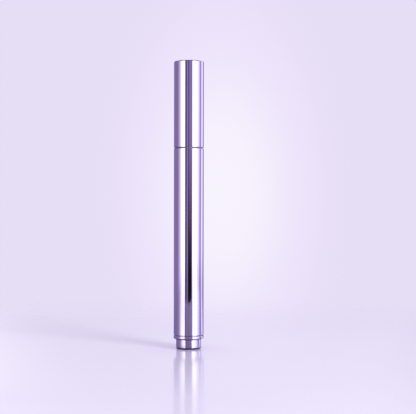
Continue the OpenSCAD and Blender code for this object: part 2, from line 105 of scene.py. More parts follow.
def add_node(tree, kind, values=(), **settings):
    """A node with its settings, and values for its inputs by name or number."""
    node = tree.nodes.new(kind)
    for key, value in settings.items():
        setattr(node, key, value)
    for key, value in dict(values).items():
        node.inputs[key].default_value = value
    return node


class Wiring:
    """Nodes joined in one tree. What a method is given is a plain value or another node's output, and what it
    gives back is an output."""

    def __init__(self, tree):
        self.tree = tree

    def join(self, value, socket):
        """Links an output to a socket, or sets the socket to a plain value."""
        if isinstance(value, bpy.types.NodeSocket):
            self.tree.links.new(value, socket)
        else:
            socket.default_value = value

    def calculate(self, operation, *values):
        """A sum, product or the like of numbers."""
        node = add_node(self.tree, "ShaderNodeMath", operation=operation)
        for socket, value in zip(node.inputs, values):
            self.join(value, socket)
        return node.outputs[0]

    def measure(self, operation, *vectors):
        """A distance, length or dot product of vectors as a number, or another sum of them as a vector."""
        node = add_node(self.tree, "ShaderNodeVectorMath", operation=operation)
        for socket, value in zip(node.inputs, vectors):
            self.join(value, socket)
        return node.outputs["Value" if operation in ("DISTANCE", "LENGTH", "DOT_PRODUCT") else "Vector"]

    def split(self, vector):
        """The X, Y and Z of a vector."""
        node = self.tree.nodes.new("ShaderNodeSeparateXYZ")
        self.join(vector, node.inputs[0])
        return node.outputs

    def spread(self, value, low, high, start=0.0, end=1.0, shape="LINEAR"):
        """A value stretched from between start and end to between low and high."""
        node = add_node(self.tree, "ShaderNodeMapRange",
                        {"From Min": start, "From Max": end, "To Min": low, "To Max": high},
                        interpolation_type=shape)
        self.join(value, node.inputs["Value"])
        return node.outputs["Result"]

    def smooth(self, value, start, end, low=0.0, high=1.0):
        """A soft step, from low up to start to high past end."""
        return self.spread(value, low, high, start, end, "SMOOTHSTEP")

    def blend(self, mask, one, other):
        """A colour between two colours, by a mask."""
        node = add_node(self.tree, "ShaderNodeMix", data_type="RGBA")
        self.join(mask, node.inputs["Factor"])
        for socket, colour in ((6, one), (7, other)):
            is_output = isinstance(colour, bpy.types.NodeSocket)
            self.join(colour if is_output else (*colour, 1.0), node.inputs[socket])
        return node.outputs[2]

    def compass_ramp(self, turn, stops):
        """Colours round a full turn, from stops of a compass direction in degrees and a colour."""
        node = self.tree.nodes.new("ShaderNodeValToRGB")
        elements = node.color_ramp.elements
        while len(elements) < len(stops):
            elements.new(0.5)
        for element, (bearing, colour) in zip(elements, stops):
            element.position = (bearing + 180) / 360
            element.color = colour
        self.join(turn, node.inputs["Fac"])
        return node.outputs["Color"]


class Effect(Wiring):
    """A new shader group that reads a place and named values, and puts out named masks and heights."""

    def __init__(self, name, outputs, **inputs):
        super().__init__(bpy.data.node_groups.new(name, "ShaderNodeTree"))
        sockets = self.tree.interface
        sockets.new_socket(name="Vector", in_out="INPUT", socket_type="NodeSocketVector")
        for label, value in inputs.items():
            socket = sockets.new_socket(name=label.replace("_", " "), in_out="INPUT",
                                        socket_type="NodeSocketFloat")
            socket.default_value = value
        for label in outputs:
            sockets.new_socket(name=label, in_out="OUTPUT", socket_type="NodeSocketFloat")
        self.given = self.tree.nodes.new("NodeGroupInput").outputs
        self.results = self.tree.nodes.new("NodeGroupOutput").inputs

    def scale_for(self, label):
        """The texture scale that gives features the size of one of the group's inputs, in millimetres."""
        return self.calculate("DIVIDE", 1.0 / MM, self.given[label])

    def texture(self, kind, scale, place=None, **values):
        """The strength of a texture at a place, or at the group's own."""
        node = add_node(self.tree, kind, values)
        self.join(self.given["Vector"] if place is None else place, node.inputs["Vector"])
        self.join(scale, node.inputs["Scale"])
        return node.outputs[0]


def drawn_lines_effect():
    """Fine lines left along a drawn tube: noise squeezed round the tube and stretched along Z, and slower
    streaks of the same kind."""
    effect = Effect("drawn_lines", ("Height", "Streak"), Spacing=0.2, Stretch=0.015)
    squeeze = add_node(effect.tree, "ShaderNodeCombineXYZ", {"X": 1.0, "Y": 1.0})
    effect.join(effect.given["Stretch"], squeeze.inputs["Z"])
    along = effect.measure("MULTIPLY", effect.given["Vector"], squeeze.outputs[0])
    fine_scale = effect.scale_for("Spacing")
    broad_scale = effect.calculate("MULTIPLY", fine_scale, 0.12)
    fine = effect.texture("ShaderNodeTexNoise", fine_scale, along, Detail=3.0, Roughness=0.6)
    broad = effect.texture("ShaderNodeTexNoise", broad_scale, along, Detail=2.0, Roughness=0.5)
    effect.join(fine, effect.results["Height"])
    effect.join(broad, effect.results["Streak"])


def handling_effect():
    """Faint broad smudges of handling."""
    effect = Effect("handling_marks", ("Smudge",), Smudge_Size=9.0)
    noise = effect.texture("ShaderNodeTexNoise", effect.scale_for("Smudge Size"), Detail=3.0, Roughness=0.55)
    effect.join(effect.smooth(noise, 0.48, 0.72), effect.results["Smudge"])


def moulded_grain_effect():
    """The skin of a moulding: a fine even grain over slow flow waves."""
    effect = Effect("moulded_grain", ("Grain", "Flow"), Grain_Size=0.12, Flow_Size=4.0)
    for label, detail in (("Grain", 2.0), ("Flow", 1.0)):
        noise = effect.texture("ShaderNodeTexNoise", effect.scale_for(label + " Size"), Detail=detail,
                               Roughness=0.5)
        effect.join(noise, effect.results[label])


def mottle_effect():
    """Mottling of soft silicone: clouds, pale specks at the heart of small cells, and both as a height."""
    effect = Effect("silicone_mottle", ("Cloud", "Speck", "Height"), Cloud_Size=1.6, Speck_Size=0.7)
    cloud = effect.texture("ShaderNodeTexNoise", effect.scale_for("Cloud Size"), Detail=4.0, Roughness=0.62,
                           Distortion=0.4)
    cells = effect.texture("ShaderNodeTexVoronoi", effect.scale_for("Speck Size"))
    speck = effect.smooth(cells, 0.2, 0.05)
    effect.join(effect.smooth(cloud, 0.34, 0.68), effect.results["Cloud"])
    effect.join(speck, effect.results["Speck"])
    effect.join(effect.calculate("MULTIPLY_ADD", speck, 0.35, cloud), effect.results["Height"])


EFFECTS = {
    "drawn_lines": drawn_lines_effect,
    "handling_marks": handling_effect,
    "moulded_grain": moulded_grain_effect,
    "silicone_mottle": mottle_effect,
}


class Finish(Wiring):
    """A new material with its Principled shader, read in Object coordinates."""

    def __init__(self, name, **sockets):
        self.material = bpy.data.materials.new(name)
        self.material.use_nodes = True
        super().__init__(self.material.node_tree)
        self.tree.nodes.clear()
        self.shader = self.tree.nodes.new("ShaderNodeBsdfPrincipled")
        output = self.tree.nodes.new("ShaderNodeOutputMaterial")
        self.join(self.shader.outputs["BSDF"], output.inputs["Surface"])
        self.place = self.tree.nodes.new("ShaderNodeTexCoord").outputs["Object"]
        for key, value in sockets.items():
            self.shader.inputs[key.replace("_", " ")].default_value = value

    def effect(self, name, **values):
        """The outputs of a shared effect, placed with this finish's own values."""
        if name not in bpy.data.node_groups:
            EFFECTS[name]()
        node = add_node(self.tree, "ShaderNodeGroup", node_tree=bpy.data.node_groups[name])
        self.join(self.place, node.inputs["Vector"])
        for key, value in values.items():
            node.inputs[key.replace("_", " ")].default_value = value
        return node.outputs

    def feed(self, socket, value):
        """Links an output to one of the shader's sockets."""
        self.join(value, self.shader.inputs[socket])

    def bump(self, height, depth_mm, strength=1.0):
        """Feeds a height to the shader's normal, as deep as depth_mm."""
        node = add_node(self.tree, "ShaderNodeBump", {"Distance": depth_mm * MM, "Strength": strength})
        self.join(height, node.inputs["Height"])
        self.feed("Normal", node.outputs["Normal"])


# Settings

class LilacSettings(PropertyGroup):
    """Looks of the metallised shells"""
    colour: FloatVectorProperty(
        name="Metal colour", description="Tint of the metallised cap, barrel, ring and button",
        default=(0.64, 0.54, 0.87), size=3, min=0.0, max=1.0, subtype="COLOR")
    gloss_roughness: FloatProperty(
        name="Roughness", description="Roughness of the polished metal between the drawn lines",
        default=0.05, min=0.0, max=0.5, subtype="FACTOR")
    smudge_roughness: FloatProperty(
        name="Smudge roughness", description="Roughness that a smudge adds",
        default=0.04, min=0.0, max=0.4, subtype="FACTOR")


class MouldingSettings(PropertyGroup):
    """Colours of the mouldings and seals"""
    white: FloatVectorProperty(
        name="White", description="Colour of the satin white mouldings",
        default=(0.865, 0.862, 0.868), size=3, min=0.0, max=1.0, subtype="COLOR")
    acetal: FloatVectorProperty(
        name="Acetal", description="Colour of the mechanism's acetal mouldings",
        default=(0.72, 0.70, 0.74), size=3, min=0.0, max=1.0, subtype="COLOR")
    milky: FloatVectorProperty(
        name="Milky", description="Colour of the translucent collar and reservoir",
        default=(0.90, 0.78, 0.88), size=3, min=0.0, max=1.0, subtype="COLOR")
    rubber: FloatVectorProperty(
        name="Rubber", description="Colour of the sealing rings",
        default=(0.11, 0.10, 0.13), size=3, min=0.0, max=1.0, subtype="COLOR")


class TipSettings(PropertyGroup):
    """Colours and sizes of the soft tip"""
    pink: FloatVectorProperty(
        name="Pink", description="Main colour of the soft tip",
        default=(0.58, 0.285, 0.42), size=3, min=0.0, max=1.0, subtype="COLOR")
    pale_pink: FloatVectorProperty(
        name="Pale pink", description="Colour of the tip's paler clouds",
        default=(0.70, 0.43, 0.565), size=3, min=0.0, max=1.0, subtype="COLOR")
    # painted light: the paler colour of the slanted face stands in for the light that falls on it from above
    film: FloatVectorProperty(
        name="Film", description="Colour of the thin film of product on the slanted face",
        default=(1.0, 0.74, 0.90), size=3, min=0.0, max=1.0, subtype="COLOR")
    low_side: FloatProperty(
        name="Low side", description="Height of the slanted face's low side above the collar",
        default=4.8 * MM, min=0.001, max=0.009, unit="LENGTH")
    rounding: FloatProperty(
        name="Rim rounding", description="Radius of the rounded rim",
        default=0.65 * MM, min=0.0001, max=0.0015, unit="LENGTH")
    slit_length: FloatProperty(
        name="Slit length", description="Length of the closed outlet slit in the face",
        default=1.6 * MM, min=0.0005, max=0.004, unit="LENGTH")


class MechanismSettings(PropertyGroup):
    """Sizes of the spring and of the rod's thread"""
    spring_turns: FloatProperty(
        name="Spring turns", description="Turns of the return spring, flat ends included",
        default=5.5, min=3.0, max=8.0)
    wire: FloatProperty(
        name="Spring wire", description="Diameter of the spring's wire",
        default=0.4 * MM, min=0.0002, max=0.0006, unit="LENGTH")
    thread_lead: FloatProperty(
        name="Thread lead", description="Rise of the rod's thread in one turn",
        default=1.4 * MM, min=0.0005, max=0.003, unit="LENGTH")
    thread_starts: IntProperty(
        name="Thread starts", description="Starts of the rod's thread", default=2, min=1, max=4)
    thread_depth: FloatProperty(
        name="Thread depth", description="Depth of the rod's thread",
        default=0.24 * MM, min=0.0001, max=0.0005, unit="LENGTH")


class StudioSettings(PropertyGroup):
    """Floor, backdrop, lights and camera"""
    floor: FloatVectorProperty(
        name="Floor", description="Colour of the glossy floor",
        default=(0.85, 0.80, 0.955), size=3, min=0.0, max=1.0, subtype="COLOR")
    backdrop: FloatVectorProperty(
        name="Backdrop", description="Colour behind the floor",
        default=(0.79, 0.73, 0.91), size=3, min=0.0, max=1.0, subtype="COLOR")
    halo: FloatVectorProperty(
        name="Halo", description="Colour of the backdrop round the glow",
        default=(0.84, 0.76, 0.96), size=3, min=0.0, max=1.0, subtype="COLOR")
    glow: FloatVectorProperty(
        name="Glow", description="Colour of the backdrop right behind the pen",
        default=(0.935, 0.90, 0.985), size=3, min=0.0, max=1.0, subtype="COLOR")
    key_power: FloatProperty(
        name="Key light", description="Power of the large soft light at the front right, in watts",
        default=8.2, min=0.0, max=50.0)
    fill: FloatProperty(
        name="Fill", description="Strength of the even light from all round",
        default=0.635, min=0.0, max=2.0)
    lens: FloatProperty(
        name="Lens", description="Focal length of the camera on a 36 mm sensor, in millimetres",
        default=90.05, min=20.0, max=400.0)
    distance: FloatProperty(
        name="Distance", description="Distance of the camera from the pen",
        default=0.45, min=0.2, max=5.0, unit="LENGTH")
    eye_height: FloatProperty(
        name="Eye height", description="Height of the camera above the floor",
        default=0.0611, min=0.0, max=1.0, unit="LENGTH")
    side_step: FloatProperty(
        name="Side step", description="How far the camera stands to the right of the pen",
        default=0.00835, min=-0.2, max=0.2, unit="LENGTH")
    tilt: FloatProperty(
        name="Tilt", description="How far the camera looks down",
        default=0.0, min=-0.5, max=0.5, subtype="ANGLE")
    roll: FloatProperty(
        name="Roll", description="How far the camera leans to its left",
        default=math.radians(0.07), min=-0.2, max=0.2, subtype="ANGLE")


# Materials

def tinted(colour, *shares):
    """A colour times one share, or times a share for each channel, at most 1."""
    if len(shares) == 1:
        shares *= 3
    return [min(1.0, channel * share) for channel, share in zip(colour, shares)]


def cap_seam():
    """The height of the middle of the seam between the barrel and the cap."""
    return (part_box("barrel_shell")[1].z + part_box("cap_shell")[0].z) / 2


def painted_joint_shade(finish, shaded_joints):
    """Painted shade where parts meet: a mask of soft bands round heights along Z, each given as its middle
    and half its width in metres, and its depth. It fades out towards the axis."""
    inside, skin = 4.2 * MM, 4.9 * MM
    radius = finish.measure("LENGTH", finish.measure("MULTIPLY", finish.place, (1.0, 1.0, 0.0)))
    height = finish.split(finish.place)["Z"]
    mask = None
    for middle, reach, depth in shaded_joints:
        away = finish.calculate("ABSOLUTE", finish.calculate("SUBTRACT", height, middle))
        band = finish.smooth(away, reach * 0.5, reach * 1.4, depth, 0.0)
        mask = finish.calculate("ADD", mask, band) if mask else band
    return finish.calculate("MULTIPLY", mask, finish.smooth(radius, inside, skin))


def lilac_metal(settings):
    """Polished lilac metal under clear lacquer, with drawn lines, smudges, and painted shade darkening its
    colour in the seam, in the groove, under the lip and round the button's foot."""
    finish = Finish("lilac_metal", Metallic=1.0, Specular_Tint=(0.86, 0.83, 1.0, 1.0),
                    Coat_Weight=0.12, Coat_Roughness=0.03, Coat_IOR=1.5)
    lines = finish.effect("drawn_lines", Spacing=0.16, Stretch=0.004)
    smudge = finish.effect("handling_marks", Smudge_Size=11.0)["Smudge"]
    tint = settings.colour
    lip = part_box("end_ring")[0].z
    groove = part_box("barrel_shell")[0].z - 0.12 * MM
    # bands of painted shade: the seam, the groove, under the lip, and the foot's rounded edge as painted
    # contact shadow
    shaded_joints = ((cap_seam(), 0.34 * MM, 0.75), (groove, 0.2 * MM, 0.5), (lip, 0.34 * MM, 0.7),
              (0.0, 0.75 * MM, 0.92))
    metal = finish.blend(lines["Streak"], tinted(tint, 0.95), tint)
    # the colour turns a dark violet painted shade in those bands
    finish.feed("Base Color", finish.blend(painted_joint_shade(finish, shaded_joints), metal, tinted(tint, 0.28, 0.22, 0.4)))
    polish = finish.spread(lines["Streak"], settings.gloss_roughness * 0.7, settings.gloss_roughness * 1.3)
    finish.feed("Roughness", finish.calculate("ADD", polish,
                                              finish.spread(smudge, 0.0, settings.smudge_roughness)))
    finish.bump(lines["Height"], 0.00012)
    return finish.material


def white_plastic(settings):
    """Satin white moulding with a fine grain and slow flow waves, and painted shade on the neck in the cap's
    seam.
    """
    finish = Finish("white_plastic", Subsurface_Weight=0.18, Subsurface_Radius=(0.9, 0.8, 1.0),
                    Subsurface_Scale=0.0012, IOR=1.49)
    skin = finish.effect("moulded_grain", Grain_Size=0.1, Flow_Size=5.0)
    smudge = finish.effect("handling_marks", Smudge_Size=7.0)["Smudge"]
    white = settings.white
    # painted shade: the white turns a purple grey in the cap's seam, and the line stays on the neck when the
    # cap is off
    painted_seam_shade = painted_joint_shade(finish, ((cap_seam(), 0.22 * MM, 1.0),))
    plastic = finish.blend(skin["Flow"], white, tinted(white, 0.95))
    finish.feed("Base Color", finish.blend(painted_seam_shade, plastic, tinted(white, 0.42, 0.36, 0.44)))
    finish.feed("Roughness", finish.calculate("ADD", finish.spread(skin["Flow"], 0.26, 0.36),
                                              finish.spread(smudge, 0.0, 0.06)))
    finish.bump(skin["Grain"], 0.0022)
    return finish.material


def acetal_plastic(settings):
    """Slightly waxy mechanism moulding with a coarser grain."""
    finish = Finish("acetal", Subsurface_Weight=0.12, Subsurface_Radius=(0.9, 0.85, 0.8),
                    Subsurface_Scale=0.001, IOR=1.48)
    skin = finish.effect("moulded_grain", Grain_Size=0.16, Flow_Size=2.5)
    finish.feed("Base Color", finish.blend(skin["Flow"], settings.acetal, tinted(settings.acetal, 0.9)))
    finish.feed("Roughness", finish.spread(skin["Grain"], 0.36, 0.5))
    finish.bump(skin["Grain"], 0.004)
    return finish.material


def milky_plastic(settings):
    """Translucent milky moulding that lets some light through."""
    finish = Finish("milky_plastic", Subsurface_Weight=0.6, Subsurface_Radius=(1.2, 0.8, 1.1),
                    Subsurface_Scale=0.0015, Transmission_Weight=0.12, IOR=1.49)
    skin = finish.effect("moulded_grain", Grain_Size=0.14, Flow_Size=3.0)
    finish.feed("Base Color", finish.blend(skin["Flow"], settings.milky, tinted(settings.milky, 1.06)))
    finish.feed("Roughness", finish.spread(skin["Flow"], 0.2, 0.32))
    finish.bump(skin["Grain"], 0.0015)
    return finish.material


def pink_silicone(settings):
    """Soft wet silicone: pink clouds with pale specks, light spreading under a glossy coat, and painted light
    on the slanted face, which is half way to a paler colour as if lit from above."""
    finish = Finish("pink_silicone", Subsurface_Weight=0.3, Subsurface_Radius=(1.0, 0.5, 0.75),
                    Subsurface_Scale=0.0009, IOR=1.42, Coat_Weight=1.0, Coat_Roughness=0.09, Coat_IOR=1.5)
    mottle = finish.effect("silicone_mottle", Cloud_Size=0.8, Speck_Size=0.42)
    clouds = finish.blend(mottle["Cloud"], settings.pink, settings.pale_pink)
    specks = finish.blend(finish.spread(mottle["Speck"], 0.0, 0.6), clouds, tinted(settings.pale_pink, 1.1))
    slope, ring_r, ring_z = tilted_face(settings)
    # painted light: the slanted face and the top of its rim are blended half way to a paler colour, as if lit
    # from above
    face_level = ring_z * math.cos(slope) + settings.rounding
    level = finish.measure("DOT_PRODUCT", finish.place, (0.0, -math.sin(slope), math.cos(slope)))
    face = finish.smooth(level, face_level - 0.8 * MM, face_level - 0.2 * MM, high=0.5)
    finish.feed("Base Color", finish.blend(face, specks, settings.film))
    finish.feed("Roughness", finish.spread(mottle["Cloud"], 0.4, 0.24))
    finish.bump(mottle["Height"], 0.02, 0.5)
    return finish.material


def seal_rubber(settings):
    """Moulded rubber with a dull fine grain."""
    finish = Finish("seal_rubber", IOR=1.5)
    skin = finish.effect("moulded_grain", Grain_Size=0.09, Flow_Size=1.5)
    finish.feed("Base Color", finish.blend(skin["Flow"], settings.rubber, tinted(settings.rubber, 1.5)))
    finish.feed("Roughness", finish.spread(skin["Grain"], 0.55, 0.75))
    finish.bump(skin["Grain"], 0.006)
    return finish.material


def bare_metal(name, spacing, stretch, colours, roughness, depth_mm):
    """Bare metal with tool lines: a pair of colours in streaks, and a pair of roughnesses over the lines."""
    finish = Finish(name, Metallic=1.0)
    lines = finish.effect("drawn_lines", Spacing=spacing, Stretch=stretch)
    finish.feed("Base Color", finish.blend(lines["Streak"], *colours))
    finish.feed("Roughness", finish.spread(lines["Height"], *roughness))
    finish.bump(lines["Height"], depth_mm)
    return finish.material


def drawn_steel():
    """Drawn steel wire and rod with lines along them."""
    return bare_metal("drawn_steel", 0.08, 0.05, ((0.50, 0.51, 0.54), (0.66, 0.67, 0.70)),
                      (0.18, 0.34), 0.001)


def turned_brass():
    """Turned brass with fine tool rings across its axis."""
    return bare_metal("turned_brass", 0.1, 6.0, ((0.62, 0.42, 0.15), (0.78, 0.58, 0.26)),
                      (0.22, 0.36), 0.0015)


# Operators

class CUTICLE_OT_lilac_shells(Operator):
    """Finishes the cap, the barrel, the end ring and the button in polished lilac metal"""
    bl_idname = "cuticle.lilac_shells"
    bl_label = "Lilac Shells"

    def execute(self, context):
        wear_material(LILAC_SHELLS, lilac_metal(context.scene.cuticle_lilac))
        return {"FINISHED"}


class CUTICLE_OT_mouldings(Operator):
    """Finishes the plastic mouldings, the sealing rings, the feed tube and the nut"""
    bl_idname = "cuticle.mouldings"
    bl_label = "Mouldings and Seals"

    def execute(self, context):
        settings = context.scene.cuticle_mouldings
        wear_material(WHITE_MOULDINGS, white_plastic(settings))
        wear_material(ACETAL_MOULDINGS, acetal_plastic(settings))
        wear_material(MILKY_MOULDINGS, milky_plastic(settings))
        wear_material(RUBBER_RINGS, seal_rubber(settings))
        wear_material(("drive_nut",), turned_brass())
        wear_material(("feed_tube",), drawn_steel())
        return {"FINISHED"}


class CUTICLE_OT_applicator_tip(Operator):
    """Models the soft tip with its slanted face, rounded rim and closed outlet slit"""
    bl_idname = "cuticle.applicator_tip"
    bl_label = "Applicator Tip"

    def execute(self, context):
        settings = context.scene.cuticle_tip
        points = tip_points(settings)
        piece = add_surface("soft_tip", points, grid_faces(points.shape[0], points.shape[1]),
                            pink_silicone(settings))
        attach(piece, "pen_body")
        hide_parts("applicator_tip")
        return {"FINISHED"}


def tilted_face(settings):
    """The slanted face's slope, and the radius and middle height of the circle that its rim runs round."""
    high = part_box("applicator_tip")[1]
    collar_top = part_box("tip_collar")[1].z
    ring_r = high.x - settings.rounding
    rise = (high.z - collar_top) - settings.low_side
    ring_z = collar_top + settings.low_side + rise / 2 - settings.rounding
    return math.atan(rise / 2 / ring_r), ring_r, ring_z


def tip_points(settings):
    """Rings of the soft tip, from the middle of its face, over the rim, down its side and up its bore.

    The face is a disc tilted along Y, crowned by a parabola, less a bell-shaped groove for the closed slit.
    Its rim is a tube round the tilted circle: the circle's centre line plus the rounding radius times a
    direction that turns from the face's normal to straight out. The side drops straight from there, and the
    bore steps in at the collar's nipple and at the feed tube.
    """
    columns, rim_rings, side_rings = 288, 13, 23
    crown_height = 0.12 * MM
    slit_depth, slit_width, slit_end = 0.22 * MM, 0.075 * MM, 0.15 * MM
    gap = 0.02 * MM
    nipple_wall, nipple_height = 0.82 * MM, 4.5 * MM
    outlet_height = 2 * MM
    low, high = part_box("applicator_tip")
    feed_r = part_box("feed_tube")[1].x
    feed_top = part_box("feed_tube")[1].z
    radius, bottom = high.x, low.z
    rounding = settings.rounding
    slope, ring_r, ring_z = tilted_face(settings)

    turn = np.linspace(0, 2 * math.pi, columns, endpoint=False)
    out = np.stack((np.cos(turn), np.sin(turn), np.zeros(columns)), axis=-1)
    normal = np.array((0.0, -math.sin(slope), math.cos(slope)))
    circle = out * ring_r + np.stack(
        (np.zeros(columns), np.zeros(columns), ring_z + ring_r * np.sin(turn) * math.tan(slope)), axis=-1)

    # the face, closer rings near the slit
    share = np.concatenate((np.linspace(0.003, 0.3, 34, endpoint=False), np.linspace(0.3, 1.0, 26)))
    middle = circle.mean(axis=0)
    face = middle + share[:, None, None] * (circle - middle) + rounding * normal
    across, along = face[..., 0], face[..., 1] / math.cos(slope)
    reach = np.clip((settings.slit_length / 2 - np.abs(across)) / slit_end, 0, 1)
    groove = np.exp(-(along / slit_width) ** 2) * reach * reach * (3 - 2 * reach)
    crown = (1 - share[:, None] ** 2) * crown_height
    face += (crown - groove * slit_depth)[..., None] * normal

    # the rim, turning between the face's normal and straight out
    angle = np.arccos(np.clip(out @ normal, -1, 1))
    steps = np.linspace(0, 1, rim_rings + 1)[1:, None]
    weight_normal = np.sin((1 - steps) * angle) / np.sin(angle)
    weight_out = np.sin(steps * angle) / np.sin(angle)
    rim = circle + rounding * (weight_normal[..., None] * normal + weight_out[..., None] * out)

    # the side and the stepped bore
    start = rim[-1, :, 2]
    drop = np.linspace(0, 1, side_rings + 1)[1:, None]
    side = np.broadcast_to(out * radius, (side_rings, columns, 3)).copy()
    side[..., 2] = start + (bottom - start) * drop
    nipple_r = feed_r + nipple_wall + gap
    nipple_top = bottom + nipple_height + gap
    outlet_top = feed_top + outlet_height
    bore = []
    for r, z in ((nipple_r, bottom), (nipple_r, nipple_top), (feed_r + gap, nipple_top),
                 (feed_r + gap, feed_top + gap), (feed_r * 0.6, feed_top + gap), (feed_r * 0.6, outlet_top),
                 (feed_r * 0.02, outlet_top)):
        ring = out * r
        ring[:, 2] = z
        bore.append(ring)
    rings = np.concatenate((face, rim, side, np.array(bore)))
    rings[0] = rings[0].mean(axis=0)
    rings[-1] = rings[-1].mean(axis=0)
    return rings[::-1]


class CUTICLE_OT_return_spring(Operator):
    """Winds the return spring with flat end turns"""
    bl_idname = "cuticle.return_spring"
    bl_label = "Return Spring"

    def execute(self, context):
        settings = context.scene.cuticle_mechanism
        points = spring_points(settings)
        rows, columns = points.shape[:2]
        ends = (range(columns), range(rows * columns - 1, (rows - 1) * columns - 1, -1))
        piece = add_surface("wound_spring", points, grid_faces(rows, columns)[:, ::-1], drawn_steel(), ends)
        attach(piece, "pen_body")
        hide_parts("return_spring")
        low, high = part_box("return_spring")
        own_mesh(piece)
        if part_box("button_core")[0].z > low.z:
            raise RuntimeError("the button's core should reach below the spring")
        return {"FINISHED"}


def spring_points(settings):
    """Rings of the wire. Its centre climbs a helix that lies flat over its first and last three quarters of a
    turn, and each ring is a circle square to the helix."""
    low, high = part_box("return_spring")
    wire = settings.wire / 2
    radius = high.x - wire
    turns = settings.spring_turns
    rings_a_turn, columns = 36, 12
    rows = int(turns * rings_a_turn) + 1
    at = np.linspace(0, turns, rows)
    flat = 0.75
    climb = np.clip((at - flat) / (turns - 2 * flat), 0, 1)
    closed = np.clip(at / flat, 0, 1) + np.clip((at - turns + flat) / flat, 0, 1)
    z = low.z + wire + closed * settings.wire + climb * (high.z - low.z - 3 * settings.wire)
    turn = at * 2 * math.pi
    centre = np.stack((radius * np.cos(turn), radius * np.sin(turn), z), axis=-1)
    ahead = np.gradient(centre, axis=0)
    ahead /= np.linalg.norm(ahead, axis=1, keepdims=True)
    out = np.stack((np.cos(turn), np.sin(turn), np.zeros(rows)), axis=-1)
    side = np.cross(ahead, out)
    side /= np.linalg.norm(side, axis=1, keepdims=True)
    around = np.linspace(0, 2 * math.pi, columns, endpoint=False)
    return centre[:, None, :] + wire * (
        np.cos(around)[None, :, None] * out[:, None, :] + np.sin(around)[None, :, None] * side[:, None, :])


class CUTICLE_OT_screw_rod(Operator):
    """Cuts the thread on the rod between its two flats"""
    bl_idname = "cuticle.screw_rod"
    bl_label = "Screw Rod"

    def execute(self, context):
        points = rod_points(context.scene.cuticle_mechanism)
        rows, columns = points.shape[:2]
        ends = (range(columns - 1, -1, -1), range((rows - 1) * columns, rows * columns))
        piece = add_surface("threaded_rod", points, grid_faces(rows, columns), drawn_steel(), ends)
        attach(piece, "piston")
        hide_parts("screw_rod")
        return {"FINISHED"}


def rod_points(settings):
    """Rings up the rod. The radius dips by a rounded V that winds up the rod once a lead, is cut off at the
    flats, and steps to the clip's neck and head."""
    low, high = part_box("screw_rod")
    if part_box("drive_nut")[1].z < low.z:
        raise RuntimeError("the rod should pass through the nut")
    columns, rings_a_ridge = 80, 9
    head_step, neck_length = 0.5 * MM, 1.0 * MM
    foot_chamfer, head_chamfer, head_edge = 0.35 * MM, 0.35 * MM, 0.15 * MM
    plain_end, fade_length = 0.6 * MM, 0.8 * MM
    head_r = high.x
    major = head_r - head_step
    flat = major * 0.75
    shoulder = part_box("piston")[0].z
    head_z = shoulder + neck_length
    z = np.arange(low.z, shoulder, settings.thread_lead / settings.thread_starts / rings_a_ridge)
    turn = np.linspace(0, 2 * math.pi, columns, endpoint=False)
    phase = (z[:, None] / settings.thread_lead - turn[None, :] / (2 * math.pi)) * settings.thread_starts
    wave = np.abs((phase % 1.0) * 2 - 1)
    dip = settings.thread_depth * np.clip(wave * 1.5 - 0.4, 0, 1)
    fade = np.clip((shoulder - plain_end - z) / fade_length, 0, 1)[:, None]
    chamfer = np.clip(foot_chamfer - (z - low.z), 0, None)[:, None]
    radius = major - dip * fade - chamfer
    flat_r = flat / np.maximum(np.abs(np.sin(turn)), 1e-6)[None, :]
    radius = np.minimum(radius, flat_r)
    levels = np.broadcast_to(z[:, None], radius.shape)
    rings = [np.stack((radius * np.cos(turn), radius * np.sin(turn), levels), axis=-1)]
    plain = np.minimum(major, flat_r[0])
    for r, level in ((plain, shoulder), (flat, shoulder), (flat, head_z), (head_r - head_edge, head_z),
                     (head_r, head_z + head_edge), (head_r, high.z - head_chamfer),
                     (head_r - head_chamfer, high.z)):
        rings.append(np.stack((r * np.cos(turn), r * np.sin(turn), np.full(columns, level)), axis=-1)[None])
    return np.concatenate(rings)


class CUTICLE_OT_studio(Operator):
    """Lays the glossy floor, lights the pen and sets up the camera"""
    bl_idname = "cuticle.studio"
    bl_label = "Studio"

    def execute(self, context):
        settings = context.scene.cuticle_studio
        lay_floor(settings)
        light_room(context.scene, settings)
        place_camera(context.scene, settings)
        context.scene.view_settings.view_transform = "Standard"
        return {"FINISHED"}


# Where the floor begins and ends, and where its two sheets meet.
FLOOR_FRONT, FLOOR_EDGE, FLOOR_BACK = -1.2, -0.225, 0.8
FLOOR_HALF_WIDTH = 1.0
# The light painted in pools on the floor, which the floor gives out to the pen's reflections though it is no
# lamp.
PAINTED_POOL_LIGHT = (0.29, 0.34, 0.34)
BLACK = (0.0, 0.0, 0.0)


def grey_stops(levels):
    """Ramp stops from compass directions and brightnesses."""
    return [(bearing, (level, level, level, 1.0)) for bearing, level in levels]


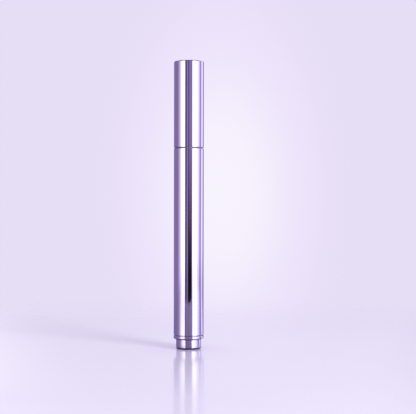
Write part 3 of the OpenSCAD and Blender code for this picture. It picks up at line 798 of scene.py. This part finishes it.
def floor_material(settings):
    """Pale lilac gloss board with a faint cloudiness in its gloss, which dulls towards the front.

    It is a little deeper in tone behind the pen, and its far end melts into the backdrop, as a sweep's does.
    Round the foot it is deeper in tone and more violet, as painted bounce light from the pen. What the pen
    mirrors of it is painted: pools of light below the softboxes, at the same compass directions, which the
    board gives out though it is no lamp, darker board between them as painted shade, and painted contact
    shadow round the foot.
    """
    finish = Finish("pale_gloss_board", Emission_Strength=1.0)
    smudge = finish.effect("handling_marks", Smudge_Size=60.0)["Smudge"]
    tone = settings.floor
    reach = finish.measure("DISTANCE", finish.place, (0.0, -0.2, 0.0))
    foot = finish.measure("DISTANCE", finish.place, (0.0, 0.0, 0.0))
    board = finish.blend(smudge, tone, tinted(tone, 0.985))
    board = finish.blend(finish.smooth(reach, 0.2, 0.29), board, tinted(tone, 0.985, 0.96, 1.0))
    # painted bounce light: the board turns a little more violet round the pen's foot
    board = finish.blend(finish.smooth(foot, 0.005, 0.03, 1.0, 0.0), board, tinted(tone, 0.98, 0.93, 1.04))

    ground = finish.split(finish.place)
    ahead = finish.calculate("MULTIPLY", ground["Y"], -1.0)
    compass = finish.calculate("ARCTAN2", ground["X"], ahead)
    turn = finish.spread(compass, 0.0, 1.0, -math.pi, math.pi)
    # painted pools of light, where the softboxes stand in the plan of the room
    painted_pool = finish.smooth(finish.compass_ramp(turn, grey_stops(ROOM)), 0.3, 1.1)
    # the painted pools fade towards the foot into painted contact shadow, more so on its left side, where the
    # key light's shadow falls, and under the foot the board is plain
    shaded = finish.measure("DISTANCE", finish.place, (-0.005, 0.0, 0.0))
    clear = finish.smooth(shaded, 0.0045, 0.026)
    outside = finish.spread(foot, 0.0, 1.0, 0.0043, 0.0047)
    # painted reflection: what the pen mirrors of the board is darker between the pools, and darker still
    # round the foot as painted contact shadow
    mirrored = finish.blend(painted_pool, tinted(tone, 0.38), tone)
    mirrored = finish.blend(clear, tinted(tone, 0.32), mirrored)
    glow = finish.blend(clear, finish.blend(outside, tinted(tone, 0.6), BLACK),
                        finish.blend(painted_pool, BLACK, PAINTED_POOL_LIGHT))
    # glossy rays alone see the painted colours, and the painted pool light that the board gives out though it
    # is no lamp
    in_gloss = finish.tree.nodes.new("ShaderNodeLightPath").outputs["Is Glossy Ray"]
    finish.feed("Base Color", finish.blend(in_gloss, board, mirrored))
    finish.feed("Emission Color", finish.blend(in_gloss, BLACK, glow))
    finish.feed("Roughness", finish.spread(smudge, 0.115, 0.135))
    finish.feed("IOR", finish.spread(ahead, 1.45, 1.09, 0.0, 0.115))
    finish.feed("Alpha", finish.smooth(reach, 0.26, 0.46, 1.0, 0.0))
    return finish.material


def lay_floor(settings):
    """A flat floor in two sheets that meet in front of the pen. The pen doesn't mirror the front one, as past
    a table's front edge the dark room is mirrored instead."""
    material = floor_material(settings)
    rows, columns = 9, 11
    for name, near, far, mirrored in (("floor", FLOOR_EDGE, FLOOR_BACK, True),
                                      ("floor_front", FLOOR_FRONT, FLOOR_EDGE, False)):
        x = np.linspace(-FLOOR_HALF_WIDTH, FLOOR_HALF_WIDTH, columns)
        y = np.linspace(near, far, rows)
        points = np.stack(np.meshgrid(x, y) + [np.zeros((rows, columns))], axis=-1)
        row, column = np.meshgrid(np.arange(rows - 1), np.arange(columns - 1), indexing="ij")
        corner = row * columns + column
        faces = np.stack((corner, corner + 1, corner + columns + 1, corner + columns), axis=-1).reshape(-1, 4)
        sheet = add_surface(name, points, faces, material)
        sheet.visible_glossy = mirrored


# A plan of the studio that the polished pen mirrors: compass direction in degrees, where 0 is the camera's
# side and the right is positive, and brightness, where 1 is a plain softbox. A narrow softbox stands left of
# the dark flags and a wide brighter one right of them, strip lights stand further round on the right and
# behind, and purple walls stand between.
ROOM = (
    (-180, 0.99), (-165, 0.99), (-158, 0.24), (-118, 0.20), (-92, 0.21), (-77, 0.35), (-67, 0.53),
    (-59, 0.84), (-46, 1.22), (-29.6, 1.28), (-26.2, 0.08), (-17, 0.08), (-10, 0.28), (-2, 0.10), (5, 0.18),
    (11, 0.23), (26.8, 0.20), (28.8, 0.76), (40, 1.7), (60, 1.6), (66.5, 1.0), (72, 0.88), (79, 0.74),
    (89, 0.58), (100, 0.28), (106, 0.28), (114, 0.56), (123, 0.9), (132, 0.78), (144, 0.18),
    (168, 0.21), (175, 0.99),
)
# The gap between the flags low down in front, where the room is dark.
GAP = ((-6, 0.0), (-2, 1.0), (4, 0.9), (8, 1.0), (21, 1.0), (25, 0.0))
# The strength of a plain softbox, and the brightness from which a wall looks neutral.
SOFTBOX, NEUTRAL = 2.0, 0.48
# The bearings between which the walls have a more violet paint, and its tint.
VIOLET_WALLS, VIOLET = (95, 170), (0.92, 0.88, 1.12)
# The light overhead, and the tint of the even light.
OVERHEAD, FILL_TINT = (1.1, 1.05, 1.15), (0.985, 0.955, 1.14)
# The glow behind the pen: the direction of its middle, and its reach along X, Y and Z.
GLOW_MIDDLE, GLOW_REACH = (0.0134, 1.0, 0.016), (0.052, 0.2, 0.098)
# The key light's place, what it is aimed at, its width and height in metres, and its colour.
KEY_PLACE, KEY_AIM = (0.7, -0.7, 0.56), (0.0, 0.0, 0.05)
KEY_SIZE = (0.42, 0.63)
KEY_COLOUR = (1.0, 0.99, 0.87)


def wall_colour(bearing, level):
    """The colour of a wall or softbox at a bearing. The dimmer a wall, the more purple: its red falls with
    the fourth root of how dim it is, and its green with the square root. A softbox's green rises and its blue
    falls very slightly with its brightness."""
    dim = min(1.0, level / NEUTRAL)
    bright = max(1.0, level / NEUTRAL)
    colour = (level * dim ** 0.25, level * dim ** 0.5 * bright ** 0.06, level * bright ** -0.05)
    if VIOLET_WALLS[0] < bearing < VIOLET_WALLS[1]:
        colour = [channel * share for channel, share in zip(colour, VIOLET)]
    return (*colour, 1.0)


def light_room(scene, settings):
    """Even soft light for the matt parts, the studio for the mirrors, and the pale backdrop for the camera.

    Gloss sees the room by its compass direction, dark low down in front and above the softboxes, with even
    light overhead. The backdrop glows in an upright oval behind the pen.
    """
    world = bpy.data.worlds.new("studio")
    scene.world = world
    world.use_nodes = True
    world.node_tree.nodes.clear()
    sky = Wiring(world.node_tree)
    direction = sky.tree.nodes.new("ShaderNodeTexCoord").outputs["Generated"]
    x, y, z = sky.split(direction)
    compass = sky.calculate("ARCTAN2", x, sky.calculate("MULTIPLY", y, -1.0))
    # the right-hand walls lean: low down they stand a little further towards the camera
    lean = sky.calculate("MULTIPLY", sky.smooth(compass, 0.7, 1.2), sky.smooth(z, 0.14, -0.09, high=0.06))
    turn = sky.spread(sky.calculate("ADD", compass, lean), 0.0, 1.0, -math.pi, math.pi)
    walls = sky.compass_ramp(turn, [(bearing, wall_colour(bearing, level)) for bearing, level in ROOM])
    gap = sky.compass_ramp(turn, grey_stops(GAP))
    dark = sky.calculate("MULTIPLY", sky.smooth(z, -0.07, 0.09, 0.97, 0.0), gap)

    # the softboxes in front end above, and all but those far round on the left fade at their lower ends
    front = sky.smooth(y, 0.3, 0.0)
    above = sky.calculate("MULTIPLY", sky.smooth(z, 0.15, 0.26), front)
    upper = sky.calculate("SUBTRACT", 1.0, sky.calculate("MULTIPLY", above, 0.97))
    low = sky.calculate("MULTIPLY", sky.smooth(compass, -1.3, -0.95),
                        sky.smooth(z, -0.035, -0.085, high=0.28))
    lamps = sky.calculate("MULTIPLY", sky.calculate("SUBTRACT", 1.0, low),
                          sky.calculate("MULTIPLY", upper, SOFTBOX))
    studio = add_node(sky.tree, "ShaderNodeVectorMath", operation="SCALE")
    sky.join(walls, studio.inputs[0])
    sky.join(sky.calculate("MULTIPLY", sky.calculate("SUBTRACT", 1.0, dark), lamps), studio.inputs["Scale"])
    high_behind = sky.calculate("MULTIPLY", sky.smooth(z, 0.35, 0.7), sky.calculate("SUBTRACT", 1.0, front))
    ceiling = sky.calculate("MAXIMUM", sky.smooth(z, 0.82, 0.97), high_behind)
    room = sky.blend(ceiling, studio.outputs["Vector"], OVERHEAD)

    # the glow: a bell over the distance from its middle, wider upwards than across
    offset = sky.measure("SUBTRACT", direction, Vector(GLOW_MIDDLE).normalized())
    distance = sky.measure("LENGTH", sky.measure("MULTIPLY", offset, [1 / reach for reach in GLOW_REACH]))
    bell = sky.calculate("EXPONENT", sky.calculate("MULTIPLY", sky.calculate("MULTIPLY", distance, distance),
                                                   -0.5))
    backdrop = sky.blend(sky.smooth(bell, 0.0, 0.3), settings.backdrop, settings.halo)
    backdrop = sky.blend(sky.smooth(bell, 0.15, 1.1), backdrop, settings.glow)
    behind = sky.calculate("MULTIPLY", sky.smooth(y, 0.93, 0.985), sky.smooth(z, 0.3, 0.5, 1.0, 0.0))
    mirrored = sky.blend(behind, room, backdrop)

    ray = sky.tree.nodes.new("ShaderNodeLightPath").outputs
    unseen = sky.blend(ray["Is Glossy Ray"], [settings.fill * share for share in FILL_TINT], mirrored)
    seen = sky.calculate("MAXIMUM", ray["Is Camera Ray"], ray["Is Transmission Ray"])
    background = sky.tree.nodes.new("ShaderNodeBackground")
    sky.join(sky.blend(seen, unseen, backdrop), background.inputs["Color"])
    sky.join(background.outputs[0], sky.tree.nodes.new("ShaderNodeOutputWorld").inputs["Surface"])

    lamp = bpy.data.lights.new("key_softbox", "AREA")
    lamp.shape = "RECTANGLE"
    lamp.size, lamp.size_y = KEY_SIZE
    lamp.energy = settings.key_power
    lamp.color = KEY_COLOUR
    key = bpy.data.objects.new("key_softbox", lamp)
    key.location = KEY_PLACE
    aim = Vector(KEY_AIM) - key.location
    key.rotation_euler = aim.to_track_quat("-Z", "Y").to_euler()
    key.visible_glossy = False
    key.visible_camera = False
    scene.collection.objects.link(key)


def place_camera(scene, settings):
    """The photograph's view: nearly level, along +Y, a little to the pen's right."""
    camera = bpy.data.cameras.new("camera")
    camera.sensor_width = 36.0
    camera.lens = settings.lens
    view = bpy.data.objects.new("camera", camera)
    view.location = (settings.side_step, -settings.distance, settings.eye_height)
    view.rotation_euler = (math.pi / 2 - settings.tilt, -settings.roll, 0.0)
    scene.collection.objects.link(view)
    scene.camera = view


class CUTICLE_PT_panel(Panel):
    """Buttons for each group of pieces, with the sizes and colours that they use"""
    bl_idname = "CUTICLE_PT_panel"
    bl_label = "Cuticle Pen"
    bl_space_type = "VIEW_3D"
    bl_region_type = "UI"
    bl_category = "Cuticle Pen"

    def draw(self, context):
        scene = context.scene
        for operators, settings in (
            ((CUTICLE_OT_lilac_shells,), scene.cuticle_lilac),
            ((CUTICLE_OT_mouldings,), scene.cuticle_mouldings),
            ((CUTICLE_OT_applicator_tip,), scene.cuticle_tip),
            ((CUTICLE_OT_return_spring, CUTICLE_OT_screw_rod), scene.cuticle_mechanism),
            ((CUTICLE_OT_studio,), scene.cuticle_studio),
        ):
            box = self.layout.box()
            for name in settings.__annotations__:
                box.prop(settings, name)
            for operator in operators:
                box.operator(operator.bl_idname)


SETTINGS = {
    "cuticle_lilac": LilacSettings,
    "cuticle_mouldings": MouldingSettings,
    "cuticle_tip": TipSettings,
    "cuticle_mechanism": MechanismSettings,
    "cuticle_studio": StudioSettings,
}
OPERATORS = (
    CUTICLE_OT_lilac_shells, CUTICLE_OT_mouldings, CUTICLE_OT_applicator_tip,
    CUTICLE_OT_return_spring, CUTICLE_OT_screw_rod, CUTICLE_OT_studio,
)


def register():
    """Adds the settings, the operators and the panel."""
    for name, group in SETTINGS.items():
        bpy.utils.register_class(group)
        setattr(bpy.types.Scene, name, PointerProperty(type=group))
    for operator in OPERATORS:
        bpy.utils.register_class(operator)
    bpy.utils.register_class(CUTICLE_PT_panel)


def unregister():
    """Removes what register added."""
    bpy.utils.unregister_class(CUTICLE_PT_panel)
    for operator in reversed(OPERATORS):
        bpy.utils.unregister_class(operator)
    for name, group in reversed(SETTINGS.items()):
        delattr(bpy.types.Scene, name)
        bpy.utils.unregister_class(group)


def main():
    register()
    bpy.ops.cuticle.lilac_shells()
    bpy.ops.cuticle.mouldings()
    bpy.ops.cuticle.applicator_tip()
    bpy.ops.cuticle.return_spring()
    bpy.ops.cuticle.screw_rod()
    bpy.ops.cuticle.studio()


if __name__ == "__main__":
    main()
